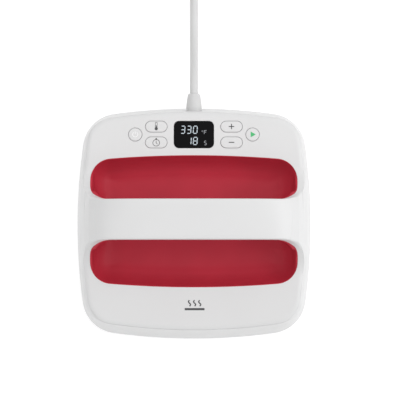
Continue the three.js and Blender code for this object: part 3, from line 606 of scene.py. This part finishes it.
def mirrored(line):
    return line + [(-x, z) for x, z in line[:-1][::-1]]


def channel(name, feet, heads, wall, round_at, slack, skews=None):
    """An open channel swept from leg to leg, between the lines feet (open side) and heads."""
    sections = []
    skews = skews or [0.0] * len(feet)
    both = skews + skews[:-1][::-1]
    for (fx, fz), (hx, hz), skew in zip(mirrored(feet), mirrored(heads), both):
        length = math.dist((fx, fz), (hx, hz))

        def point(up, half, sign):
            t = up / length
            x = lerp(fx, hx, t)
            bow = half * half / (2 * FOOT["side"]) * ease(abs(x) / 95 - 0.1)
            shift = skew * t ** 4 * half * sign / HANDLE_HALF
            return (x - math.copysign(bow - shift, x), half * sign, lerp(fz, hz, t) - shift)

        def width(up):
            return handle_half(lerp(fx, hx, up / length), lerp(fz, hz, up / length)) - slack

        r = min(round_at(length), length * 0.45)
        side = [(0.0, width(0.0) - 0.25), (0.06, width(0.06) - 0.07), (0.3, width(0.3))]
        side += [(up, width(up)) for up in np.linspace(0.3, length - r, 6)[1:]]
        for a in np.linspace(0, math.pi / 2, 8)[1:]:
            side.append((length - r + r * math.sin(a), width(length) - r + r * math.cos(a)))
        side += [(length, (width(length) - r) * s) for s in (0.66, 0.33)]
        outer = ([point(up, half, 1) for up, half in side] + [point(length, 0.0, 1)]
                 + [point(up, half, -1) for up, half in side[::-1]])
        top = length - wall
        inner = [(0.0, width(0.0) - wall), (top, max(2.0, width(top) - max(wall, r)))]
        ring = (outer + [point(up, half, -1) for up, half in inner]
                + [point(up, half, 1) for up, half in inner[::-1]])
        sections.append(ring)
    return skin(name, sections, False)


def make_handle(white, raspberry):
    """The white cover stands between brim and crown, the grip between brim and underside."""
    crown, brim, below, skews = handle_lines()
    cover = channel("handle_shell", brim, crown, HANDLE_WALL, lambda length: HANDLE_ROUND, 0.0, skews)
    dress(finish_mesh(cover, white, 40), "handle_cover", "white_shell")
    lowered = brim[:1] + [(x - BRIM_GAP, z - BRIM_GAP) for x, z in brim[1:]]
    grip = channel("handle_grip_shell", lowered, below, HANDLE_WALL,
                   lambda length: length * 0.45 + 1.5, GRIP_SLACK)
    dress(finish_mesh(grip, raspberry, 40), "handle_grip", "raspberry_shell")


# ------------------------------------------------------------------ heated base
def outline_ring(o, inset, z):
    return [inward(p, inset, z) for p in around(o)]


def make_base(grey, ceramic):
    outer = WALL + 0.3 + GAP
    ring = skin("base_ring_trim", [
        outline_ring(FOOT, outer + 0.5, 3.2), outline_ring(FOOT, outer, 3.7),
        outline_ring(FOOT, outer + 0.6, 7), outline_ring(PLATE, -1, 7),
        outline_ring(PLATE, -1, 3.5), outline_ring(PLATE, -1.3, 3.2)], True)
    dress(finish_mesh(ring, grey), "base_ring", "grey_trim")
    profile = [(1.6, 0.0), (0.9, 0.12), (0.35, 0.5), (0.08, 1.1), (0.0, 1.8),
               (0.0, PLATE_TOP - 0.8), (0.8, PLATE_TOP)]
    plate = skin("coated_plate", [outline_ring(PLATE, inset, z) for inset, z in profile], False)
    dress(finish_mesh(plate, ceramic), "heat_plate", "coated_plate")


# ------------------------------------------------------------------ control deck
PANEL = (Matrix.Translation((0, PANEL_Y * MM, deck_height(PANEL_Y) * MM))
         @ Matrix.Rotation(-math.atan(DECK_SLOPE), 4, "X"))
CORNER_STEPS = 14
BUTTONS = {
    "power": (-ROUND_X, 0.0, False), "temperature": (-PILL_X, PILL_Y, True),
    "timer": (-PILL_X, -PILL_Y, True), "plus": (PILL_X, PILL_Y, True),
    "minus": (PILL_X, -PILL_Y, True), "go": (ROUND_X, 0.0, False),
}


def slab_ring(w, h, r, inset, z, x=0.0, y=0.0):
    """One ring of a rounded rectangle, inset from its full size."""
    points = []
    for q, (sx, sy) in enumerate(((1, 1), (-1, 1), (-1, -1), (1, -1))):
        for i in range(CORNER_STEPS + 1):
            a = (q + i / CORNER_STEPS) * math.pi / 2
            reach = max(0.02, r - inset)
            points.append((x + sx * (w / 2 - r) + reach * math.cos(a),
                           y + sy * (h / 2 - r) + reach * math.sin(a), z))
    return points


def slab(name, w, h, r, profile, x=0.0, y=0.0):
    """A rounded rectangle over (inset, z) points of its edge."""
    piece = skin(name, [slab_ring(w, h, r, inset, z, x, y) for inset, z in profile], False)
    bm = bmesh.new()
    bm.from_mesh(piece.data)
    bmesh.ops.remove_doubles(bm, verts=bm.verts, dist=1e-6)
    bm.to_mesh(piece.data)
    bm.free()
    return piece


def button_size(pill):
    return (PILL_HALF * 2, PILL_R * 2, PILL_R) if pill else (ROUND_R * 2, ROUND_R * 2, ROUND_R)


def deck_cutters():
    """Holes of the buttons, with a small countersink, and of the display window."""
    hole = [(0.0, -8.0), (0.0, -0.3), (-0.25, 0.05), (-0.25, 6.0)]
    cutters = []
    for name, (x, y, pill) in BUTTONS.items():
        w, h, r = button_size(pill)
        cutters.append(slab("cut_" + name, w, h, r, hole, x, y))
    cutters.append(slab("cut_window", WINDOW_W + 2 * GAP, WINDOW_H + 2 * GAP, WINDOW_R + GAP, hole))
    for cutter in cutters:
        cutter.data.transform(PANEL)
    return cutters


def make_buttons(material):
    for name, (x, y, pill) in BUTTONS.items():
        w, h, r = button_size(pill)
        profile = [(-0.9, -3.3), (-0.9, -2.5), (GAP, -2.5), (GAP, -0.2), (GAP + 0.06, 0.05),
                   (GAP + 0.25, 0.22), (GAP + 0.55, 0.3), (GAP + 2.5, 0.33)]
        cap = slab("cap_" + name, w, h, r, profile, x, y)
        cap.data.transform(PANEL)
        body = "button_" + name
        dress(finish_mesh(cap, material, 40), "button_" + name, "button_white", body)


def make_window(glass):
    profile = [(0.0, -1.6), (0.0, -0.1), (0.12, 0.04), (0.4, 0.1)]
    lens = slab("display_glass", WINDOW_W, WINDOW_H, WINDOW_R, profile)
    lens.data.transform(PANEL)
    dress(finish_mesh(lens, glass), "display_window", "black_gloss")


# ------------------------------------------------------------------ printed marks
INK_HEIGHT = 0.05
ON_BUTTON, ON_GLASS, ON_DECK = 0.31, 0.11, 0.01


def plate_from(outlines, low, high):
    """One mesh of flat-topped plates, each outline a list of (x, y)."""
    points, faces = [], []
    for outline in outlines:
        n = len(outline)
        first = len(points)
        points += [(x, y, low) for x, y in outline] + [(x, y, high) for x, y in outline]
        faces.append(tuple(range(first + n - 1, first - 1, -1)))
        faces.append(tuple(range(first + n, first + 2 * n)))
        faces += [(first + i, first + (i + 1) % n, first + n + (i + 1) % n, first + n + i)
                  for i in range(n)]
    return points, faces


def stroke(points, width):
    """Outline of a line of even width with square ends."""
    left, right = [], []
    for i, p in enumerate(points):
        a = np.array(points[max(0, i - 1)])
        b = np.array(points[min(len(points) - 1, i + 1)])
        d = (b - a) / np.linalg.norm(b - a)
        n = np.array([-d[1], d[0]]) * width / 2
        left.append(tuple(np.array(p) + n))
        right.append(tuple(np.array(p) - n))
    return left + right[::-1]


def arc(cx, cy, r, start, end, steps=20):
    return [(cx + r * math.cos(math.radians(a)), cy + r * math.sin(math.radians(a)))
            for a in np.linspace(start, end, steps + 1)]


def mark(name, outlines, material, body, x=0.0, y=0.0, lift=ON_BUTTON, place=PANEL):
    """A printed mark, lift above the surface that place stands for."""
    points, faces = plate_from(outlines, lift, lift + INK_HEIGHT)
    piece = new_mesh(name, [(px + x, py + y, pz) for px, py, pz in points], faces)
    piece.data.transform(place)
    finish_mesh(piece, material)
    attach(piece, body)
    return piece


def make_button_marks(ink, glow, green):
    """Generic symbols: plus, minus, thermometer, stopwatch, power and a start triangle."""
    x, y, _ = BUTTONS["plus"]
    bar = [(-2.9, -0.5), (2.9, -0.5), (2.9, 0.5), (-2.9, 0.5)]
    post = [(-0.5, 0.5), (0.5, 0.5), (0.5, 2.9), (-0.5, 2.9)]
    foot = [(-0.5, -2.9), (0.5, -2.9), (0.5, -0.5), (-0.5, -0.5)]
    mark("mark_plus", [bar, post, foot], ink, "button_plus", x, y)
    x, y, _ = BUTTONS["minus"]
    mark("mark_minus", [bar], ink, "button_minus", x, y)
    x, y, _ = BUTTONS["temperature"]
    bulb = arc(0, -2.4, 1.7, 0, 360, 28)[:-1]
    tube = stroke([(-1.0, -1.1)] + arc(0, 3.7, 1.0, 180, 0) + [(1.0, -1.1)], 0.5)
    column = [(-0.5, -1.2), (0.5, -1.2), (0.5, 1.3), (-0.5, 1.3)]
    mark("mark_thermometer", [bulb, tube, column], ink, "button_temperature", x, y)
    x, y, _ = BUTTONS["timer"]
    dial = stroke(arc(0, -0.5, 3.55, 0, 360, 48), 0.62)
    crown = stroke([(0, 3.2), (0, 4.6)], 1.5)
    hand = stroke([(0, 1.7), (0, -0.6), (1.3, -2.0)], 0.6)
    mark("mark_stopwatch", [dial, crown, hand], ink, "button_timer", x, y)
    x, y, _ = BUTTONS["power"]
    ring = stroke(arc(0, 0, 2.7, 125, 415, 40), 0.5)
    tick = stroke([(0, 0.6), (0, 3.2)], 0.5)
    mark("mark_power", [ring, tick], glow, "button_power", x, y)
    x, y, _ = BUTTONS["go"]
    play = [(-2.0, -3.2), (3.4, 0.0), (-2.0, 3.2)]
    mark("mark_start", [play], green, "button_go", x, y)


SEGMENTS = {
    "a": ((0.12, 1.0), (0.88, 1.0)), "b": ((1.0, 0.93), (1.0, 0.54)), "c": ((1.0, 0.46), (1.0, 0.07)),
    "d": ((0.88, 0.0), (0.12, 0.0)), "e": ((0.0, 0.07), (0.0, 0.46)), "f": ((0.0, 0.54), (0.0, 0.93)),
    "g": ((0.12, 0.5), (0.88, 0.5)),
}
DIGITS = {"0": "abcdef", "1": "bc", "3": "abcdg", "8": "abcdefg"}
DIGIT_W, DIGIT_H, DIGIT_STROKE, DIGIT_SLANT = 4.0, 7.9, 0.85, 0.07
UNIT_STROKE = 0.6


def digit(char, x, y):
    """Seven-segment digit as bars; x, y is the lower left corner of its centre lines."""
    bars = []
    for key in DIGITS[char]:
        ends = [(x + px * DIGIT_W + py * DIGIT_H * DIGIT_SLANT, y + py * DIGIT_H)
                for px, py in SEGMENTS[key]]
        bars.append(stroke(ends, DIGIT_STROKE))
    return bars


def letter_lines(lines, x, y, h):
    return [stroke([(x + px * h, y + py * h) for px, py in line], UNIT_STROKE) for line in lines]


def make_readout(bright, dim):
    """The set temperature in degrees and the time in seconds, as lit segments."""
    big = []
    for char, x in zip("330", (-13.9, -7.4, -0.8)):
        big += digit(char, x, 1.2)
    for char, x in zip("18", (-7.2, -0.8)):
        big += digit(char, x, -11.0)
    mark("readout_numbers", big, bright, BODY, lift=ON_GLASS)
    small = [stroke(arc(9.0, 3.6, 0.62, 0, 360, 24), 0.32)]
    small += letter_lines([[(0, 0), (0, 1)], [(0, 0.94), (0.62, 0.94)], [(0, 0.5), (0.5, 0.5)]],
                          11.0, 0.6, 3.9)
    curve = arc(12.2, -8.1, 1.1, 40, 270, 14) + arc(12.2, -10.3, 1.1, 90, -140, 14)
    small.append(stroke(curve, UNIT_STROKE))
    mark("readout_units", small, dim, BODY, lift=ON_GLASS)


def make_front_mark(ink):
    """A plain pictogram on the front deck: three rising heat waves over a pressing bar."""
    waves = []
    for x in (-5.4, 0.0, 5.4):
        line = [(x + 1.1 * math.sin(t * math.pi * 2), -0.8 + 6.2 * t) for t in np.linspace(0, 1, 19)]
        waves.append(stroke(line, 1.3))
    bar = [(-10.5, -5.2), (10.5, -5.2), (10.5, -2.9), (-10.5, -2.9)]
    deck = Matrix.Translation((0, FRONT_MARK_Y * MM, deck_height(FRONT_MARK_Y) * MM))
    place = deck @ Matrix.Rotation(math.atan(DECK_SLOPE), 4, "X")
    mark("mark_front", waves + [bar], ink, BODY, FRONT_MARK_X, 0.0, ON_DECK, place)


# ------------------------------------------------------------------ cord
STEPS_PER_TURN = 28
PLUG_NOSE, PLUG_CORNER, SLEEVE_RIBS = 20.0, 7.0, 6


def coil_point(angle):
    """A point of the coil: the lower layer winds inwards and the upper layer winds out again."""
    share = angle / (COIL_TURNS * 2 * math.pi)
    r = lerp(COIL_IN, COIL_OUT, abs(2 * share - 1))
    climb = ease((share - 0.46) / 0.08)
    z = FLOOR_R + COIL_LIFT * ease(angle / 2.0) + CORD_D * climb
    return (COIL_X + r * math.cos(angle), COIL_Y + r * math.sin(angle), z)


def cord_route():
    """Centreline in mm: out of the relief, down to the table, round the coil, into the plug."""
    lead = [(0.0, RELIEF_END - 2.4, CORD_Z)] + [(0.0, y, z) for y, z in LEAD_ROUTE]
    lead += [(0.0, 296.0, FLOOR_R), (0.0, 308.0, FLOOR_R)]
    steps = int(COIL_TURNS * STEPS_PER_TURN)
    coil = [coil_point(2 * math.pi * COIL_TURNS * i / steps) for i in range(steps + 1)]
    last = coil[-1]
    tail = [(last[0] - dx, last[1], lerp(last[2], 11.7, ease(dx / 40))) for dx in (12, 24, 36, 44)]
    return lead + coil + tail


def make_cord(rubber):
    points = [tuple(p) for p in smooth_line(cord_route(), 3)]
    data = bpy.data.curves.new("mains_cord", "CURVE")
    data.dimensions = "3D"
    spline = data.splines.new("POLY")
    spline.points.add(len(points) - 1)
    for p, (x, y, z) in zip(spline.points, points):
        p.co = (x * MM, y * MM, z * MM, 1.0)
    data.bevel_depth = CORD_D / 2 * MM
    data.bevel_resolution = 6
    data.use_fill_caps = True
    cord = bpy.data.objects.new("mains_cord", data)
    bpy.context.scene.collection.objects.link(cord)
    data.materials.append(rubber)
    dress(cord, "power_cord", "cord_grey", BODY, "cord_coil")
    length = sum(math.dist(a, b) for a, b in zip(points, points[1:])) * MM
    return cord, length


def make_relief(rubber):
    profile = [(0.3, 112.0), (9.6, 112.0), (9.8, 112.3), (9.8, 115.0), (8.1, 115.2), (8.1, 121.5),
               (8.4, 122.5), (8.35, 123.5), (8.0, 127.5), (7.4, 132.0), (6.75, 136.3), (6.4, 137.4),
               (5.8, 138.1), (5.0, 138.4), (0.3, 138.4)]
    relief = lathe("cord_relief", profile, 48, axis="Y")
    relief.data.transform(Matrix.Translation((0, 0, CORD_Z * MM)))
    return dress(finish_mesh(relief, rubber), "strain_relief", "cord_grey")


def make_tie(black):
    low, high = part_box("coil_tie")
    size = (high - low) / MM
    centre = (high + low) / 2 / MM
    rings = []
    for inset, half in ((0.0, -5.6), (0.0, 5.6), (1.0, 5.6), (1.0, -5.6)):
        ring = slab_ring(size.x - 2 * inset, size.z - 2 * inset, 4.0 - inset, 0.0, 0.0)
        rings.append([(centre.x + px, centre.y + half, centre.z + py) for px, py, _ in ring])
    tie = skin("cord_tie", rings, True)
    return dress(finish_mesh(tie, black), "coil_tie", "black_plastic")


def make_plug(rubber, metal):
    """A moulded plug with a waisted grip and a ribbed sleeve, around the CAD model's pins."""
    low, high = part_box("plug_body")
    size = (high - low) / MM
    centre = (high + low) / 2 / MM
    body_len = size.x - PLUG_NOSE
    front = low.x / MM
    profile = [(1.2, 0.0), (0.35, 0.3), (0.0, 1.2), (0.0, 20.0), (1.1, 24.0), (1.4, 27.0),
               (0.8, 30.5), (0.0, 33.0), (0.3, body_len - 1.0), (1.6, body_len)]
    ring = slab_ring(size.y, size.z, PLUG_CORNER, 0.0, 0.0)
    rings = []
    for inset, at in profile:
        wide = 1 - 2 * inset / size.y
        tall = 1 - 2 * inset / size.z
        rings.append([(front + at, centre.y + px * wide, centre.z + py * tall)
                      for px, py, _ in ring])
    body = skin("plug_moulding", rings, False)
    dress(finish_mesh(body, rubber, 45), "plug_body", "cord_grey")
    neck = [(0.3, body_len - 1.5), (8.4, body_len - 1.2)]
    for i in range(SLEEVE_RIBS):
        at = body_len + 1.0 + i * 3.0
        r = 8.0 - i * 0.42
        neck += [(r, at), (r, at + 1.7), (r - 0.9, at + 1.9), (r - 0.95, at + 2.8)]
    neck += [(4.9, body_len + PLUG_NOSE - 0.2), (0.3, body_len + PLUG_NOSE)]
    sleeve = lathe("plug_sleeve", neck, 36, axis="X")
    sleeve.data.transform(Matrix.Translation((front * MM, centre.y * MM, centre.z * MM)))
    finish_mesh(sleeve, rubber)
    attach(sleeve, BODY)
    pins = [NODES[name] for name in ("plug_blade_left", "plug_blade_right", "plug_ground_pin")]
    for pin in pins:
        pin.data.materials.clear()
        pin.data.materials.append(metal)
    return [body, sleeve, *pins]


# ------------------------------------------------------------------ materials
def shader(name, colour, roughness, metallic=0.0, specular=0.5):
    material = bpy.data.materials.new(name)
    material.use_nodes = True
    surface = material.node_tree.nodes["Principled BSDF"]
    surface.inputs["Base Color"].default_value = (*colour, 1.0)
    surface.inputs["Roughness"].default_value = roughness
    surface.inputs["Metallic"].default_value = metallic
    surface.inputs["Specular IOR Level"].default_value = specular
    return material, material.node_tree, surface


def noise(tree, scale, detail=3.0, stretch=(1.0, 1.0, 1.0)):
    place = tree.nodes.new("ShaderNodeTexCoord")
    mapping = tree.nodes.new("ShaderNodeMapping")
    mapping.inputs["Scale"].default_value = stretch
    texture = tree.nodes.new("ShaderNodeTexNoise")
    texture.inputs["Scale"].default_value = scale
    texture.inputs["Detail"].default_value = detail
    tree.links.new(place.outputs["Object"], mapping.inputs["Vector"])
    tree.links.new(mapping.outputs["Vector"], texture.inputs["Vector"])
    return texture.outputs["Fac"]


def vary_colour(tree, surface, fac, dark, light):
    ramp = tree.nodes.new("ShaderNodeValToRGB")
    ramp.color_ramp.elements[0].position = 0.3
    ramp.color_ramp.elements[0].color = (*dark, 1.0)
    ramp.color_ramp.elements[1].position = 0.7
    ramp.color_ramp.elements[1].color = (*light, 1.0)
    tree.links.new(fac, ramp.inputs["Fac"])
    tree.links.new(ramp.outputs["Color"], surface.inputs["Base Color"])


def vary_roughness(tree, surface, fac, low, high):
    span = tree.nodes.new("ShaderNodeMapRange")
    span.inputs["From Min"].default_value = 0.3
    span.inputs["From Max"].default_value = 0.7
    span.inputs["To Min"].default_value = low
    span.inputs["To Max"].default_value = high
    tree.links.new(fac, span.inputs["Value"])
    tree.links.new(span.outputs["Result"], surface.inputs["Roughness"])


def bump(tree, surface, fac, strength, distance):
    node = tree.nodes.new("ShaderNodeBump")
    node.inputs["Strength"].default_value = strength
    node.inputs["Distance"].default_value = distance
    tree.links.new(fac, node.inputs["Height"])
    tree.links.new(node.outputs["Normal"], surface.inputs["Normal"])


def plastic(name, colour, roughness, grain=0.0002, spread=0.03, specular=0.5):
    """Moulded plastic: faint cloudy tint, uneven gloss and a fine eroded grain."""
    material, tree, surface = shader(name, colour, roughness, specular=specular)
    cloud = noise(tree, 22.0, 2.0)
    vary_colour(tree, surface, cloud, [c * (1 - spread) for c in colour],
                [min(1.0, c * (1 + spread)) for c in colour])
    vary_roughness(tree, surface, noise(tree, 60.0), roughness - 0.04, roughness + 0.05)
    bump(tree, surface, noise(tree, 2600.0, 2.0), 0.12, grain)
    return material


def metal(name, colour, roughness):
    material, tree, surface = shader(name, colour, roughness, metallic=1.0)
    brushed = noise(tree, 400.0, 4.0, (1.0, 14.0, 14.0))
    vary_colour(tree, surface, brushed, [c * 0.88 for c in colour], colour)
    vary_roughness(tree, surface, brushed, roughness - 0.06, roughness + 0.08)
    bump(tree, surface, brushed, 0.15, 0.0001)
    return material


def ceramic_coat(name):
    material, tree, surface = shader(name, (0.045, 0.045, 0.048), 0.42)
    fleck = noise(tree, 1500.0, 4.0)
    vary_colour(tree, surface, fleck, (0.035, 0.035, 0.038), (0.075, 0.075, 0.08))
    vary_roughness(tree, surface, noise(tree, 90.0), 0.36, 0.5)
    bump(tree, surface, noise(tree, 900.0, 3.0), 0.2, 0.0003)
    return material


def lit(name, colour, strength):
    """A glowing symbol over a darker body of the same hue."""
    base = [c * 0.3 for c in colour]
    material, tree, surface = shader(name, base, 0.5)
    vary_colour(tree, surface, noise(tree, 300.0), [c * 0.9 for c in base], base)
    surface.inputs["Emission Color"].default_value = (*colour, 1.0)
    surface.inputs["Emission Strength"].default_value = strength
    return material


def black_glass(name):
    material, tree, surface = shader(name, (0.003, 0.003, 0.0034), 0.2, specular=0.04)
    vary_roughness(tree, surface, noise(tree, 50.0), 0.16, 0.24)
    vary_colour(tree, surface, noise(tree, 12.0), (0.0025, 0.0025, 0.003), (0.0035, 0.0035, 0.004))
    return material


def circuit_board(name):
    material, tree, surface = shader(name, (0.02, 0.12, 0.06), 0.4)
    vary_colour(tree, surface, noise(tree, 220.0, 1.0), (0.015, 0.1, 0.05), (0.03, 0.16, 0.08))
    bump(tree, surface, noise(tree, 300.0, 1.0), 0.3, 0.0001)
    return material


def wool(name):
    material, tree, surface = shader(name, (0.7, 0.66, 0.58), 0.95)
    fibre = noise(tree, 800.0, 5.0, (1.0, 3.0, 1.0))
    vary_colour(tree, surface, fibre, (0.6, 0.56, 0.48), (0.78, 0.74, 0.66))
    bump(tree, surface, fibre, 0.6, 0.0006)
    return material


def floor_material():
    """Pale paper lit from below, like a light table, so that it shows hardly any shadow."""
    material, tree, surface = shader("studio_paper", (0.5, 0.5, 0.5), 0.8, specular=0.1)
    vary_colour(tree, surface, noise(tree, 3.0), (0.49, 0.49, 0.49), (0.51, 0.51, 0.51))
    surface.inputs["Emission Color"].default_value = (1.0, 1.0, 1.0, 1.0)
    surface.inputs["Emission Strength"].default_value = 0.6
    return material


WHITE = (0.60, 0.60, 0.602)
RASPBERRY = (0.44, 0.024, 0.044)


def finish_hidden_nodes(palette):
    """Every CAD node that no piece stands for gets its own slot's procedural material."""
    for entry in frame["record"]["subparts"]:
        node = NODES[entry["node"]]
        material = palette.get(entry["material_slot"])
        if material is not None:
            node.data.materials.clear()
            node.data.materials.append(material)


def build():
    make_camera()
    rubber = plastic("cord_pvc", (0.545, 0.545, 0.545), 0.5, grain=0.0003)
    cord, length = make_cord(rubber)
    relief = make_relief(rubber)
    black = plastic("black_nylon", (0.02, 0.02, 0.022), 0.6)
    tie = make_tie(black)
    brass = metal("plug_brass", (0.78, 0.62, 0.36), 0.28)
    plug = make_plug(rubber, brass)

    white = plastic("white_moulding", WHITE, 0.38, spread=0.008)
    cap_white = plastic("button_moulding", WHITE, 0.4, spread=0.008)
    raspberry = plastic("raspberry_moulding", RASPBERRY, 0.5, grain=0.0003, spread=0.05, specular=0.2)
    grey = plastic("grey_trim_moulding", (0.55, 0.555, 0.56), 0.55)
    ceramic = ceramic_coat("plate_coating")
    make_stage()
    make_housing(white)
    make_cover(white)
    make_liner(raspberry)
    make_handle(white, raspberry)
    make_base(grey, ceramic)
    make_buttons(cap_white)
    make_window(black_glass("display_black"))
    ink = plastic("grey_ink", (0.055, 0.055, 0.058), 0.6)
    glow = lit("white_glow", (1.0, 1.0, 1.0), 0.56)
    green = lit("green_glow", (0.06, 0.5, 0.17), 0.6)
    make_button_marks(ink, glow, green)
    make_readout(lit("segment_bright", (0.66, 0.75, 0.82), 0.62),
                 lit("segment_dim", (0.3, 0.31, 0.33), 0.7))
    make_front_mark(ink)
    finish_hidden_nodes({
        "brass": brass, "steel": metal("plain_steel", (0.62, 0.63, 0.65), 0.35),
        "black_plastic": black, "circuit_board": circuit_board("solder_mask"),
        "insulation": wool("fibre_felt"), "grey_trim": grey,
    })


build()
